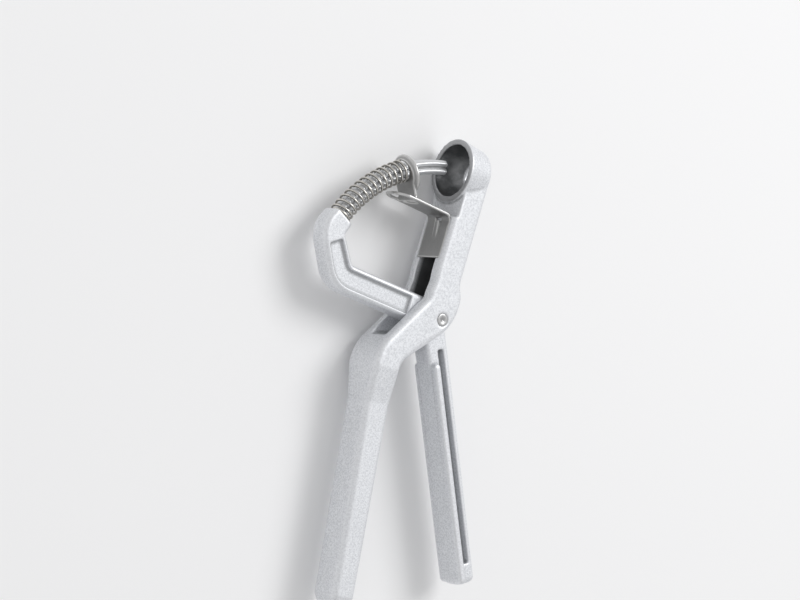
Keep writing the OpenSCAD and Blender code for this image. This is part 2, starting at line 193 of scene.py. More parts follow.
# Painted highlight on the sheet's sheared edges
SHEARED_EDGE_HIGHLIGHT = (0.72, 0.72, 0.71)
PIN_FILM = (0.26, 0.26, 0.26)

# How deep each finish's fine relief is, how fast the rings on the pin follow one another, in radians per
# metre from its axis, and the least roughness of any finish
PEBBLE_DEPTH = 0.06 * MM
DRAG_DEPTH = 0.03 * MM
LINE_DEPTH = 0.02 * MM
MILL_DEPTH = 0.04 * MM
RING_DEPTH = 0.02 * MM
RING_RATE = 42000
LEAST_ROUGH = 0.05


# ---- Sizes, finishes and stage that a user may change -----------------------------------------------

class PitterSizes(bpy.types.PropertyGroup):
    """Sizes of the pieces that are worked out here."""

    arc_radius: FloatProperty(name="Arc radius", description="Radius of the plunger's arc about the pivot",
                              default=0.058, unit="LENGTH")
    hook_angle: FloatProperty(name="Hook angle",
                              description="Angle of the hook's end face from +Y, towards -X",
                              default=math.radians(46.4), subtype="ANGLE")
    root_angle: FloatProperty(name="Root angle",
                              description="Angle of the plunger's root past the hook's face",
                              default=math.radians(7.0), subtype="ANGLE")
    flange_angle: FloatProperty(name="Flange angle", description="Angle of the flange from +Y, towards -X",
                                default=math.radians(11.5), subtype="ANGLE")
    tip_angle: FloatProperty(name="Tip angle", description="Angle of the plunger's tip from +Y, towards +X",
                             default=math.radians(7.4), subtype="ANGLE")
    plunger_diameter: FloatProperty(name="Plunger diameter",
                                    description="Diameter of the plunger over its ribs",
                                    default=0.0064, unit="LENGTH")
    rib_thickness: FloatProperty(name="Rib thickness", description="Thickness of each plunger rib",
                                 default=0.0022, unit="LENGTH")
    wire_diameter: FloatProperty(name="Wire diameter", description="Diameter of the spring's wire",
                                 default=0.0009, unit="LENGTH")
    curl_diameter: FloatProperty(name="Curl diameter", description="Mean diameter of the spring's curls",
                                 default=0.0082, unit="LENGTH")
    curls: IntProperty(name="Curls", description="Number of curls of the spring", default=14, min=6, max=20)
    end_pitch: FloatProperty(name="End pitch", description="Advance of the spring's first and last curl",
                             default=0.0016, unit="LENGTH")
    cup_voxel: FloatProperty(name="Cup lever grain",
                             description="Edge length of the faces on the cup lever's skin",
                             default=0.00041, unit="LENGTH")
    hook_voxel: FloatProperty(name="Hook grain",
                              description="Edge length of the faces on the plunger lever's skin",
                              default=0.00037, unit="LENGTH")
    cast_rounds: IntProperty(name="Cast rounding",
                             description="Rounds of smoothing that soften the cast edges",
                             default=4, min=0, max=20)
    sheet_voxel: FloatProperty(name="Sheet grain", description="Edge length of the faces on the sheet skin",
                               default=0.00024, unit="LENGTH")
    sheet_rounds: IntProperty(name="Sheet rounding", description="Rounds of smoothing on the sheet's edges",
                              default=3, min=0, max=20)


class PitterFinishes(bpy.types.PropertyGroup):
    """Colours of the finishes, as scene-linear values."""

    coat: FloatVectorProperty(name="Coat", description="Silver coat of the cast levers", subtype="COLOR",
                              size=3, default=(0.86, 0.875, 0.90), min=0, max=1)
    coat_fleck: FloatVectorProperty(name="Coat fleck", description="Dark flecks in the coat",
                                    subtype="COLOR", size=3, default=(0.54, 0.555, 0.58), min=0, max=1)
    # The bowl's dark colour is painted shade inside the hollow cup
    bowl: FloatVectorProperty(name="Bowl", description="Bare metal inside the cup", subtype="COLOR",
                              size=3, default=(0.17, 0.175, 0.18), min=0, max=1)
    plunger: FloatVectorProperty(name="Plunger", description="Bright metal of the plunger", subtype="COLOR",
                                 size=3, default=(0.72, 0.73, 0.74), min=0, max=1)
    sheet: FloatVectorProperty(name="Sheet", description="Rolled sheet of the stripper", subtype="COLOR",
                               size=3, default=(0.38, 0.38, 0.377), min=0, max=1)
    wire: FloatVectorProperty(name="Wire", description="Drawn wire of the spring", subtype="COLOR",
                              size=3, default=(0.66, 0.64, 0.60), min=0, max=1)
    pin: FloatVectorProperty(name="Pin", description="Turned end of the pivot pin", subtype="COLOR",
                             size=3, default=(0.55, 0.55, 0.55), min=0, max=1)


class PitterStage(bpy.types.PropertyGroup):
    """Camera and floor."""

    yaw: FloatProperty(name="Yaw", description="Turn of the camera from the pivot axis, towards -X",
                       default=math.radians(37), subtype="ANGLE")
    lift: FloatProperty(name="Lift", description="Angle at which the camera looks down along the levers",
                        default=math.radians(3), subtype="ANGLE")
    roll: FloatProperty(name="Roll", description="Turn of the picture about the line of sight",
                        default=0.0, subtype="ANGLE")
    distance: FloatProperty(name="Distance", description="Distance of the camera from the point it looks at",
                            default=1.3, unit="LENGTH")
    scale: FloatProperty(name="Scale", description="Size of a picture point at the point looked at",
                         default=0.00038, unit="LENGTH")
    aim: FloatVectorProperty(name="Aim", description="The point that stands at the picture's centre",
                             subtype="XYZ", unit="LENGTH", size=3, default=(-0.0133, 0.0076, MID_Z))
    floor: FloatVectorProperty(name="Floor", description="Colour of the plain floor", subtype="COLOR",
                               size=3, default=(0.93, 0.93, 0.932), min=0, max=1)
    floor_gap: FloatProperty(name="Floor gap", description="Room between the floor and the lowest point",
                             default=0.0002, unit="LENGTH")


# ---- Shader expressions -----------------------------------------------------------------------------

class Value:
    """A socket or number in a material's node tree. Arithmetic on it adds Math nodes."""

    def __init__(self, maker, socket):
        self.maker = maker
        self.socket = socket

    def _math(self, operation, *others):
        return self.maker.node("ShaderNodeMath", {"operation": operation}, dict(enumerate((self, *others))))

    def __add__(self, other):
        return self._math("ADD", other)

    def __radd__(self, other):
        return self._math("ADD", other)

    def __sub__(self, other):
        return self._math("SUBTRACT", other)

    def __rsub__(self, other):
        return self.maker.value(other)._math("SUBTRACT", self)

    def __mul__(self, other):
        return self._math("MULTIPLY", other)

    def __rmul__(self, other):
        return self._math("MULTIPLY", other)

    def clamp(self, low=0.0, high=1.0):
        """The value, held between low and high."""
        return self._math("MAXIMUM", low)._math("MINIMUM", high)

    def sine(self):
        return self._math("SINE")

    def sine_square(self):
        """The square of the sine of half the value, which swings from 0 to 1 and back each full turn."""
        return self.maker.value(0.5) - (self._math("COSINE") * 0.5)


class Finish:
    """A material whose nodes are added by expressions, with one Principled shader at its end."""

    def __init__(self, name, **shader):
        self.material = bpy.data.materials.new(name)
        self.material.use_nodes = True
        self.tree = self.material.node_tree
        self.shader = next(n for n in self.tree.nodes if n.type == "BSDF_PRINCIPLED")
        for socket, setting in shader.items():
            self.shader.inputs[socket.replace("_", " ")].default_value = setting

    def value(self, number):
        """A number as the first operand of an expression, held in a Math node's own socket."""
        return Value(self, number)

    def node(self, kind, settings=None, inputs=None, output=0):
        """Adds one node: its settings first, then each input's value or link."""
        made = self.tree.nodes.new(kind)
        for key, setting in (settings or {}).items():
            if key == "stops":
                while len(made.color_ramp.elements) < len(setting):
                    made.color_ramp.elements.new(0.5)
                for stop, (place, tone) in zip(made.color_ramp.elements, setting):
                    stop.position = place
                    stop.color = (tone, tone, tone, 1)
            else:
                setattr(made, key, setting)
        for key, item in (inputs or {}).items():
            self.join(item, made.inputs[key])
        return Value(self, made.outputs[output])

    def join(self, item, socket):
        """Links a value to a socket, or writes a number or colour on the socket itself."""
        if isinstance(item, Value):
            if isinstance(item.socket, bpy.types.NodeSocket):
                self.tree.links.new(item.socket, socket)
                return
            item = item.socket
        if hasattr(item, "__len__"):
            item = tuple(item)
            if socket.type == "RGBA" and len(item) == 3:
                item = item + (1.0,)
        socket.default_value = item

    def feed(self, **sockets):
        """Links values to the Principled shader's own sockets."""
        for name, item in sockets.items():
            self.join(item, self.shader.inputs[name.replace("_", " ")])

    def place(self, size=(1.0, 1.0, 1.0), source="Object"):
        """Object coordinates or the piece's UV map, stretched by size."""
        spot = self.node("ShaderNodeTexCoord", output=source)
        return self.node("ShaderNodeMapping", None, {"Vector": spot, "Scale": size})

    def noise(self, where, scale, detail=2.0, roughness=0.5):
        """Cloudy noise about 0.5, which is finer where scale is larger."""
        return self.node("ShaderNodeTexNoise", None,
                         {"Vector": where, "Scale": scale, "Detail": detail, "Roughness": roughness})

    def steps(self, value, *stops):
        """Maps a value through a grey ramp with the given stops."""
        return self.node("ShaderNodeValToRGB", {"stops": stops}, {"Fac": value})

    def mix(self, share, first, second):
        """The first colour where share is 0 and the second where it is 1."""
        made = self.tree.nodes.new("ShaderNodeMix")
        made.data_type = "RGBA"
        self.join(share, made.inputs[0])
        self.join(first, made.inputs[6])
        self.join(second, made.inputs[7])
        return Value(self, made.outputs[2])

    def attribute(self, name):
        """A mask that was written on the piece's points."""
        return self.node("ShaderNodeAttribute", {"attribute_name": name}, output="Fac")

    def bump(self, height, distance, strength=1.0):
        """A normal that leans as if height, from 0 to 1, raised the surface by up to distance."""
        return self.node("ShaderNodeBump", None,
                         {"Height": height, "Distance": distance, "Strength": strength}, "Normal")


# ---- Shapes -----------------------------------------------------------------------------------------

def on_arc(radius, angle, side):
    """Points in the middle plane at a radius and an angle from +Y towards +X, raised by side along the
    pivot: x = radius sin(angle), y = radius cos(angle), z = the middle plane plus side."""
    return np.stack([radius * np.sin(angle), radius * np.cos(angle), MID_Z + side + 0 * angle], axis=-1)


def grid_piece(name, rings, along):
    """A mesh from rings of points. Ring k and point j give faces to ring k + 1 and point j + 1, the last
    point of a ring joins its first, and a fan to the ring's mean point closes each end. The UV map Along
    holds how far along the piece a point is, and its share of a turn round the ring."""
    count, sides = rings.shape[:2]
    ends = np.stack([rings[0].mean(axis=0), rings[-1].mean(axis=0)])
    points = np.concatenate([rings.reshape(-1, 3), ends])
    k, j = np.meshgrid(np.arange(count - 1), np.arange(sides), indexing="ij")
    a = k * sides + j
    b = k * sides + (j + 1) % sides
    walls = np.stack([a, b, b + sides, a + sides], axis=-1).reshape(-1, 4)
    j = np.arange(sides)
    first = np.stack([np.full(sides, count * sides), (j + 1) % sides, j], axis=-1)
    base = (count - 1) * sides
    other = np.stack([np.full(sides, count * sides + 1), base + j, base + (j + 1) % sides], axis=-1)
    mesh = bpy.data.meshes.new(name)
    mesh.from_pydata(points.tolist(), [], walls.tolist() + first.tolist() + other.tolist())
    turn = np.concatenate([np.tile(np.arange(sides) / sides, count), [0.5, 0.5]])
    run = np.concatenate([np.repeat(along, sides), [along[0], along[-1]]])
    layer = mesh.uv_layers.new(name="Along")
    corners = np.empty(len(mesh.loops), dtype=np.int32)
    mesh.loops.foreach_get("vertex_index", corners)
    around = turn[corners]
    sides_of = np.empty(len(mesh.polygons), dtype=np.int32)
    mesh.polygons.foreach_get("loop_total", sides_of)
    face = np.repeat(np.arange(len(sides_of)), sides_of)
    wraps = np.zeros(len(mesh.polygons), dtype=bool)
    wraps[:len(walls)] = (np.arange(len(walls)) % sides) == sides - 1
    around = np.where(wraps[face] & (around < 0.5), around + 1, around)
    layer.data.foreach_set("uv", np.stack([run[corners], around], axis=-1).ravel())
    mesh.update()
    mesh.shade_smooth()
    return show(name, mesh)


def show(name, mesh):
    """A new object in the scene with the mesh."""
    piece = bpy.data.objects.new(name, mesh)
    bpy.context.scene.collection.objects.link(piece)
    return piece


def read_points(mesh):
    """The mesh's points as an array of x, y and z."""
    points = np.empty(len(mesh.vertices) * 3)
    mesh.vertices.foreach_get("co", points)
    return points.reshape(-1, 3)


def cast_skin(node, name, voxel, rounds):
    """A copy of a node's solid with softened edges. Its doubles are merged, it is remade from cubes of one
    size, and each round moves every point half of the way to the mean of the points joined to it."""
    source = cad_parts[node]
    piece = show(name, source.data.copy())
    piece.data.materials.clear()
    weld = piece.modifiers.new("Weld", "WELD")
    weld.merge_threshold = WELD_GAP
    remesh = piece.modifiers.new("Remesh", "REMESH")
    remesh.mode = "VOXEL"
    remesh.voxel_size = voxel
    remesh.use_smooth_shade = True
    shape = bpy.data.meshes.new_from_object(piece.evaluated_get(bpy.context.evaluated_depsgraph_get()))
    piece.modifiers.clear()
    piece.data = shape
    shape.name = name
    if len(shape.vertices) < FEWEST_POINTS:
        raise RuntimeError(name + " has no skin: the node's solid isn't closed")
    ends = np.empty(len(shape.edges) * 2, dtype=np.int64)
    shape.edges.foreach_get("vertices", ends)
    ends = ends.reshape(-1, 2)
    points = read_points(shape)
    joined = np.bincount(ends.ravel(), minlength=len(points))[:, None]
    for _ in range(rounds):
        points = 0.5 * points + 0.5 * mean_of_joined(points, ends, joined)
    shape.vertices.foreach_set("co", points.ravel())
    shape.update()
    shape.shade_smooth()
    write_edges(shape, points, ends, joined, voxel)
    return piece


def mean_of_joined(values, ends, joined):
    """The mean, over the points joined to each point, of the values at those points."""
    total = np.zeros_like(values)
    for column in range(values.shape[1]):
        total[:, column] = (np.bincount(ends[:, 0], values[ends[:, 1], column], len(values))
                            + np.bincount(ends[:, 1], values[ends[:, 0], column], len(values)))
    return total / joined


def write_edges(mesh, points, ends, joined, voxel):
    """Writes how far each point stands out from the mean of its neighbours, along its normal and in voxels,
    as the attribute Edge: 0.5 on flat faces, more on outer edges and less in inner corners."""
    normals = np.empty(len(points) * 3)
    mesh.vertices.foreach_get("normal", normals)
    normals = normals.reshape(-1, 3)
    out = np.einsum("ij,ij->i", points - mean_of_joined(points, ends, joined), normals)[:, None]
    for _ in range(EDGE_ROUNDS):
        out = EDGE_KEPT * out + (1 - EDGE_KEPT) * mean_of_joined(out, ends, joined)
    write_mask(mesh, "Edge", 0.5 + EDGE_GAIN * out[:, 0] / voxel)


def write_mask(mesh, name, values):
    """Writes one value from 0 to 1 per point as a named attribute."""
    layer = mesh.attributes.new(name, "FLOAT", "POINT")
    layer.data.foreach_set("value", np.clip(values, 0, 1).astype(np.float32))


def dress(piece, body, slot, finish, *nodes):
    """Gives a piece its finish and the body that it rides on, and hides the nodes that it stands for. The
    slot argument is not used. A piece that bends between two bodies has no body of its own."""
    piece.data.materials.append(finish)
    if body:
        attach(piece, body)
    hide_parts(*nodes)


# ---- Finishes ---------------------------------------------------------------------------------------

def cast_coat(finishes, name, has_cup):
    """Matte silver coat: pale ground with fine dark flecks, a faint pebbled surface, worn edges that are
    lighter as a painted highlight, and painted shade in the inner corners. Where the mask Groove is 1 the
    coat darkens to painted shade. The cup lever has two more masks: where Bowl is 1 the metal is bare and
    smooth and its dark colour is painted shade, and where Rim is 1, on the cup's flat ring, it gets painted
    shade."""
    coat = Finish(name, Metallic=0.35, Specular_IOR_Level=0.5)
    where = coat.place()
    grain = coat.noise(where, 1500, 4, 0.75)
    cloud = coat.noise(where, 90, 3, 0.5)
    edge = coat.attribute("Edge")
    fleck = coat.steps(grain, (0.38, 1), (0.60, 0))
    edge_finish_and_highlight = coat.steps(edge, (0.56, 0), (0.9, 1))
    corner_shade = coat.steps(edge, (0.1, 1), (0.45, 0))
    ground = coat.mix(fleck * 0.75, tuple(finishes.coat), tuple(finishes.coat_fleck))
    ground = coat.mix((cloud - 0.42).clamp() * 0.35, ground, tuple(finishes.coat_fleck))
    # Painted highlight: the coat is lighter on outer edges
    ground = coat.mix(edge_finish_and_highlight * 0.55, ground, WORN_COAT_HIGHLIGHT)
    # Painted shade: the coat is darker in inner corners
    ground = coat.mix(corner_shade * 0.5, ground, CORNER_SHADE_COAT)
    rough = 0.46 + grain * 0.16 - edge_finish_and_highlight * 0.12
    metal = 0.32 + edge_finish_and_highlight * 0.3
    # Painted shade: the Groove mask darkens the coat in the grooves
    ground = coat.mix(coat.attribute("Groove") * (0.75 + cloud * 0.4).clamp(), ground, GROOVE_SHADE)
    if has_cup:
        # Painted shade: the Rim mask darkens the coat on the cup's flat ring
        ground = coat.mix(coat.attribute("Rim") * 0.8, ground, RIM_SHADE)
        bowl = coat.attribute("Bowl")
        stain = coat.noise(where, 260, 4, 0.6)
        # Painted shade inside the cup, with random lighter stains; metal and roughness are those of bare
        # metal
        bowl_shade_and_stain = coat.mix((stain - 0.4).clamp() * 2.4, tuple(finishes.bowl), BOWL_STAIN)
        ground = coat.mix(bowl, ground, bowl_shade_and_stain)
        rough = rough * (1 - bowl) + bowl * (0.22 + stain * 0.22)
        metal = metal * (1 - bowl) + bowl * 0.8
    coat.feed(Base_Color=ground, Roughness=rough.clamp(LEAST_ROUGH), Metallic=metal.clamp(),
              Normal=coat.bump(grain, PEBBLE_DEPTH, 0.5))
    return coat.material


def bright_casting(finishes):
    """Bright smooth casting: long faint drag marks along the ribs, soft clouds and painted shade in the
    valleys between the ribs, where the square of the cosine of twice the turn from the arc's outer side is
    near 1."""
    metal = Finish("plunger_metal", Metallic=0.7)
    along = metal.place((60, 26, 1), "UV")
    drag = metal.noise(along, 6, 3, 0.6)
    cloud = metal.noise(metal.place(), 160, 2)
    around = metal.node("ShaderNodeSeparateXYZ", None, {0: metal.place(source="UV")}, "Y")
    valley = 1 - (around * (8 * math.pi)).sine_square()
    shade = metal.steps(valley, (0.62, 0), (0.97, 1))
    ground = metal.mix((drag - 0.35).clamp() * 0.6, tuple(finishes.plunger), DRAG_MARK)
    # Painted shade in the valleys between the ribs
    ground = metal.mix(shade * 0.8, ground, RIB_VALLEY_SHADE)
    metal.feed(Base_Color=ground, Roughness=(0.24 + drag * 0.14 + cloud * 0.1).clamp(LEAST_ROUGH),
               Metallic=(0.62 + cloud * 0.2).clamp(), Normal=metal.bump(drag, DRAG_DEPTH, 0.5))
    return metal.material


def drawn_wire(finishes):
    """Drawn spring wire: fine lines along the wire, a random darker film, and painted shade on the wire's
    flanks that face the neighbouring curls.
    """
    metal = Finish("wire_metal", Metallic=1.0)
    along = metal.place((400, 14, 1), "UV")
    line = metal.noise(along, 3, 2, 0.6)
    film = metal.noise(metal.place(), 700, 2)
    around = metal.node("ShaderNodeSeparateXYZ", None, {0: metal.place(source="UV")}, "Y")
    flank = metal.steps((around * (4 * math.pi)).sine_square(), (0.25, 0), (0.85, 1))
    ground = metal.mix((film - 0.45).clamp() * 0.8, tuple(finishes.wire), WIRE_FILM)
    # Painted shade on the flanks between the curls
    ground = metal.mix(flank * 0.75, ground, WIRE_FLANK_SHADE)
    metal.feed(Base_Color=ground, Roughness=(0.16 + line * 0.14 + film * 0.06).clamp(LEAST_ROUGH),
               Normal=metal.bump(line, LINE_DEPTH, 0.4))
    return metal.material


def rolled_sheet(finishes):
    """Rolled sheet: fine lines from the mill along the leg, soft blotches, and sheared edges that are
    lighter as a painted highlight.
    """
    metal = Finish("sheet_metal", Metallic=0.95)
    where = metal.place((260, 900, 5200))
    mill = metal.noise(where, 1, 3, 0.6)
    blotch = metal.noise(metal.place(), 420, 3)
    edge = metal.attribute("Edge")
    edge_finish_and_highlight = metal.steps(edge, (0.55, 0), (0.8, 1))
    ground = metal.mix((mill - 0.4).clamp() * 0.8, tuple(finishes.sheet), MILL_LINE)
    # Painted highlight: the sheet is lighter on its edges
    ground = metal.mix(edge_finish_and_highlight * 0.8, ground, SHEARED_EDGE_HIGHLIGHT)
    rough = 0.26 + mill * 0.16 + blotch * 0.12 - edge_finish_and_highlight * 0.08
    metal.feed(Base_Color=ground, Roughness=rough.clamp(LEAST_ROUGH),
               Normal=metal.bump(mill, MILL_DEPTH, 0.4))
    return metal.material


def turned_pin(finishes):
    """Turned pin: fine rings round its axis, and a cloudy worn film."""
    metal = Finish("pin_metal", Metallic=0.9)
    where = metal.place()
    flat = metal.node("ShaderNodeVectorMath", {"operation": "MULTIPLY"}, {0: where, 1: (1, 1, 0)})
    reach = metal.node("ShaderNodeVectorMath", {"operation": "LENGTH"}, {0: flat}, "Value")
    ring = (reach * RING_RATE).sine() * 0.5 + 0.5
    cloud = metal.noise(where, 900, 3)
    ground = metal.mix((cloud - 0.4).clamp() * 0.9, tuple(finishes.pin), PIN_FILM)
    metal.feed(Base_Color=ground, Roughness=(0.26 + ring * 0.1 + cloud * 0.1).clamp(LEAST_ROUGH),
               Normal=metal.bump(ring, RING_DEPTH, 0.4))
    return metal.material


# ---- Operators --------------------------------------------------------------------------------------

class PITTER_OT_cast_levers(bpy.types.Operator):
    """Make the skins of the two cast levers."""

    bl_idname = "pitter.cast_levers"
    bl_label = "Cast Levers"

    def execute(self, context):
        sizes = context.scene.pitter_sizes
        finishes = context.scene.pitter_finishes
        cup = cast_skin("cup_lever", "cup_lever_skin", sizes.cup_voxel, sizes.cast_rounds)
        points = read_points(cup.data)
        write_mask(cup.data, "Bowl", bowl_mask(points))
        write_mask(cup.data, "Groove", groove_mask(points))
        write_mask(cup.data, "Rim", rim_mask(points))
        coat = cast_coat(finishes, "cup_lever_coat", True)
        dress(cup, "cup_side", "cast", coat, "cup_lever")
        hook = cast_skin("plunger_lever", "plunger_lever_skin", sizes.hook_voxel, sizes.cast_rounds)
        # Painted shade along the grooves in the sides of the handle
        write_mask(hook.data, "Groove", handle_mask(read_points(hook.data)))
        coat = cast_coat(finishes, "plunger_lever_coat", False)
        dress(hook, "plunger_side", "cast", coat, "plunger_lever")
        return {"FINISHED"}


def in_plane(angle):
    """The unit vector of the middle plane at an angle below +X."""
    return np.array([math.cos(angle), -math.sin(angle), 0.0])


def in_cup(points):
    """The depth of points from the plane of the cup's mouth, and their distance from the cup's axis."""
    axis = in_plane(ARM_TILT - CUP_TURN)
    middle = in_plane(ARM_UP) * CUP_REACH - in_plane(ARM_TILT) * CUP_SHIFT + [0.0, 0.0, MID_Z]
    along = (points - middle) @ axis
    return along + CUP_DEPTH / 2, np.linalg.norm(points - middle - np.outer(along, axis), axis=1)


def bowl_mask(points):
    """1 inside the cup and 0 outside. A point is inside where it is nearer to the middle of the hollow's
    ball than the ball's radius, behind the plane of the mouth and before the floor, and each border is
    soft."""
    depth, reach = in_cup(points)
    near = (BALL_RADIUS - np.hypot(depth - BALL_DEPTH, reach)) / SOFT + 1
    return np.minimum(near, np.minimum(depth / SOFT - 0.5, (CUP_DEPTH - CUP_FLOOR - depth) / SOFT))


def rim_mask(points):
    """1 on the flat ring round the cup's mouth, where the coat gets painted shade, and 0 elsewhere: a point
    is on it where it is within a soft border of the plane of the mouth and stands clear of the ring's inner
    and outer edges."""
    depth, reach = in_cup(points)
    flat = 1.5 - np.abs(depth) / SOFT
    inner = (reach - CUP_RADIUS + RIM_WALL) / SOFT
    return np.minimum(flat, np.minimum(inner, (CUP_RADIUS - reach) / SOFT))


def groove_mask(points):
    """1 in the arm's groove and in the slot below it, where the coat gets painted shade, and 0 on the arm's
    outer
    faces: a point is inside where it is nearer to the middle plane than half the slot and between the arm's
    front and back, fork and cup."""
    across = points @ in_plane(ARM_TILT)
    along = points @ in_plane(ARM_UP)
    inside = (SLOT_HALF - np.abs(points[:, 2] - MID_Z)) / SOFT + 1
    deep = np.minimum(across + ARM_FRONT - GROOVE_LIP, GROOVE_BACK - across) / GROOVE_FADE
    high = np.minimum(along - GROOVE_LOW, GROOVE_HIGH - along) / SOFT
    return np.minimum(inside, np.minimum(deep, high))


def handle_mask(points):
    """One even painted shade in the groove along each side of the plunger lever's handle and 0 elsewhere: a
    point is inside where it is between the groove's inner and outer walls and its two ends, and no further
    from the middle plane than the painted shade reaches."""
    along = points @ in_plane(math.pi / 2 - HANDLE_TILT)
    across = points @ in_plane(-HANDLE_TILT)
    wide = np.minimum(across - HANDLE_IN, HANDLE_OUT - across) / SOFT + 1
    long = np.minimum(along - HANDLE_LOW, HANDLE_HIGH - along) / SOFT + 1
    deep = (HANDLE_SIDE - np.abs(points[:, 2] - MID_Z)) / SOFT + 0.5
    return HANDLE_SHADE * np.clip(np.minimum(np.minimum(wide, long), deep), 0, 1)


class PITTER_OT_plunger(bpy.types.Operator):
    """Make the curved plunger with its crossed ribs."""

    bl_idname = "pitter.plunger"
    bl_label = "Plunger"

    def execute(self, context):
        sizes = context.scene.pitter_sizes
        start, end = -(sizes.hook_angle + sizes.root_angle), sizes.tip_angle
        angle = np.append(np.linspace(start, end, BAR_STEPS)[:-1], end - np.array(TIP_ANGLES))
        less = np.ones_like(angle)
        less[-len(TIP_SHRINK):] = TIP_SHRINK
        turn = np.linspace(0, 2 * math.pi, BAR_SIDES, endpoint=False)
        reach = rib_reach(turn, sizes.plunger_diameter / 2, sizes.rib_thickness / 2) - BAR_INSET
        out = less[:, None] * (reach * np.cos(turn))[None, :]
        side = less[:, None] * (reach * np.sin(turn))[None, :]
        rings = on_arc(sizes.arc_radius + out, np.broadcast_to(angle[:, None], out.shape), side)
        piece = grid_piece("plunger_bar", rings[::-1], (angle[::-1] - start) * sizes.arc_radius)
        finish = bright_casting(context.scene.pitter_finishes)
        dress(piece, "plunger_side", "plunger", finish, "plunger")
        return {"FINISHED"}


def rib_reach(turn, radius, half):
    """The cross's outline as a distance from its middle at each turn: a rib is half / sin(d) at the angle d
    from its middle line and never past the radius, both joined softly, and the core between ribs is
    round."""
    away = np.abs((turn % (math.pi / 2)) - math.pi / 4)
    rib = half / np.maximum(np.sin(away), 1e-3)
    soft = (radius ** -RIB_POWER + rib ** -RIB_POWER) ** (-1 / RIB_POWER)
    core = CORE_SHARE * half
    joined = (soft ** CORE_POWER + core ** CORE_POWER) ** (1 / CORE_POWER)
    excess = (2 ** (1 / CORE_POWER) - 1) * core * (core / np.maximum(soft, core)) ** CORE_POWER
    return joined - excess


class PITTER_OT_spring(bpy.types.Operator):
    """Make the return spring, bent along the plunger's arc."""

    bl_idname = "pitter.spring"
    bl_label = "Return Spring"

    def execute(self, context):
        sizes = context.scene.pitter_sizes
        half = sizes.wire_diameter / 2
        sheet = HALF_SHEET / sizes.arc_radius
        start = -sizes.hook_angle + half / sizes.arc_radius
        end = -sizes.flange_angle - sheet - half / sizes.arc_radius
        turn = np.linspace(0, sizes.curls, sizes.curls * CURL_STEPS + 1)
        angle = start + (end - start) * curl_share(turn, sizes)
        centre = on_arc(sizes.arc_radius, angle, 0 * turn)
        swing = sizes.curl_diameter / 2
        wire = on_arc(sizes.arc_radius + swing * np.cos(2 * math.pi * turn), angle,
                      swing * np.sin(2 * math.pi * turn))
        rings = wire_rings(wire, centre, half)
        run = np.concatenate([[0], np.cumsum(np.linalg.norm(np.diff(wire, axis=0), axis=1))])
        piece = grid_piece("return_spring", rings, run)
        dress(piece, None, "spring", drawn_wire(context.scene.pitter_finishes), "spring")
        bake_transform(piece, "cup_side", "plunger_side", start=tuple(centre[-1]), end=tuple(centre[0]))
        spread_along_arc(piece, start, end)
        return {"FINISHED"}


def curl_share(turn, sizes):
    """How far each turn of the wire has gone along the spring, from 0 to 1: the advance per curl rises from
    a share of the end pitch to one even pitch over a curl and a half, and its running sum is scaled to the
    whole length."""
    edge = np.minimum(turn, sizes.curls - turn) / EASE_CURLS
    ease = np.clip(edge, 0, 1) ** 2 * (3 - 2 * np.clip(edge, 0, 1))
    length = sizes.arc_radius * (sizes.hook_angle - sizes.flange_angle)
    even = length / (sizes.curls - LOST_CURLS)
    pitch = sizes.end_pitch * START_SHARE * (1 - ease) + even * ease
    total = np.concatenate([[0], np.cumsum((pitch[1:] + pitch[:-1]) / 2 * np.diff(turn))])
    return total / total[-1]


def wire_rings(wire, centre, half):
    """Rings round the wire: each is a circle in the plane square to the wire, which starts from the line
    away from the curl's centre. The first and last rings are drawn in to round the cut ends."""
    along = np.gradient(wire, axis=0)
    along /= np.linalg.norm(along, axis=1)[:, None]
    out = wire - centre
    out -= along * np.einsum("ij,ij->i", out, along)[:, None]
    out /= np.linalg.norm(out, axis=1)[:, None]
    across = np.cross(along, out)
    turn = np.linspace(0, 2 * math.pi, WIRE_SIDES, endpoint=False)[None, :, None]
    reach = np.full(len(wire), half)
    reach[[0, -1]] *= WIRE_END
    circle = out[:, None] * np.cos(turn) + across[:, None] * np.sin(turn)
    return wire[:, None] + reach[:, None, None] * circle


def spread_along_arc(piece, start, end):
    """Shares the joint's turn evenly along the arc: 1 at the hook's face and 0 at the flange."""
    points = read_points(piece.data)
    angle = np.arctan2(points[:, 0], points[:, 1])
    share = np.clip((end - angle) / (end - start), 0, 1)
    layer = piece.data.attributes["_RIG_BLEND"]
    layer.data.foreach_set("value", share.astype(np.float32))


class PITTER_OT_stripper(bpy.types.Operator):
    """Make the stripper's sheet, with its pressed dish."""

    bl_idname = "pitter.stripper"
    bl_label = "Stripper"

    def execute(self, context):
        sizes = context.scene.pitter_sizes
        sheet = cast_skin("stripper", "stripper_sheet", sizes.sheet_voxel, sizes.sheet_rounds)
        dress(sheet, "cup_side", "sheet", rolled_sheet(context.scene.pitter_finishes), "stripper")
        return {"FINISHED"}


class PITTER_OT_pivot_pin(bpy.types.Operator):
    """Make the pivot pin with its turned ends."""

    bl_idname = "pitter.pivot_pin"
    bl_label = "Pivot Pin"

    def execute(self, context):
        low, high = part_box("pivot_pin")
        reach = (high[0] - low[0]) / 2
        radius = reach * np.concatenate([PIN_RADII, PIN_RADII[::-1]])
        height = np.concatenate([low[2] + PIN_SINKS, (high[2] - PIN_SINKS)[::-1]])
        turn = np.linspace(0, 2 * math.pi, PIN_SIDES, endpoint=False)
        rings = np.stack([radius[:, None] * np.cos(turn), radius[:, None] * np.sin(turn),
                          height[:, None] + 0 * turn], axis=-1)
        piece = grid_piece("pivot_pin_body", rings, height)
        dress(piece, "cup_side", "pin", turned_pin(context.scene.pitter_finishes), "pivot_pin")
        return {"FINISHED"}


